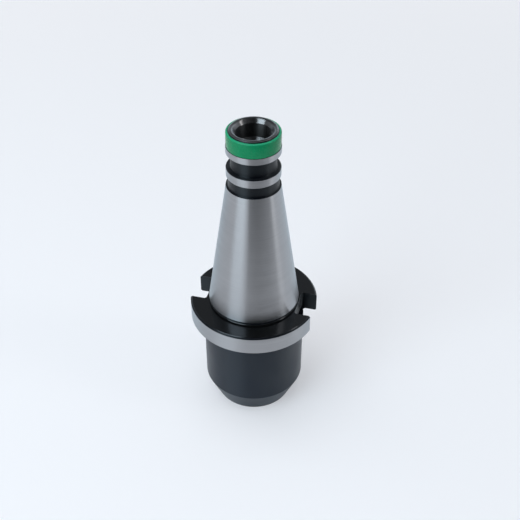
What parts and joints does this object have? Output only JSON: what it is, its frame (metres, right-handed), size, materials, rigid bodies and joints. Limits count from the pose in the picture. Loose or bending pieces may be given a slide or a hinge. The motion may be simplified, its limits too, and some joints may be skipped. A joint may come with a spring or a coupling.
{
  "type": "weldon chuck",
  "caption": "Side-lock end mill holder: black steel chuck with a ground steep taper shank, slotted drive flange, radial clamp screw and a green ring round its tail.",
  "frame": {"origin": "centre of the nose face, on which the chuck stands", "axes": "+Z along the chuck's axis from the nose to the tail, the drive slots on +X and -X, the clamp screw on +Y"},
  "size_m": [0.061, 0.063, 0.157],
  "materials": {
    "holder_steel": "hardened steel, black oxide on the turned faces, bare and ground on the taper, flange rim and pilot",
    "ring_plastic": "moulded green plastic, softly glossy",
    "screw_steel": "hardened steel, black oxide"
  },
  "bodies": {
    "holder": {"holder_body": "holder_steel", "colour_ring": "ring_plastic"},
    "screw": {"clamp_screw": "screw_steel"}
  },
  "joints": [
    {"name": "screw_travel", "type": "slide", "parent": "holder", "child": "screw", "axis": [0, 1, 0], "range_m": [-0.002, 0.012]}
  ]
}
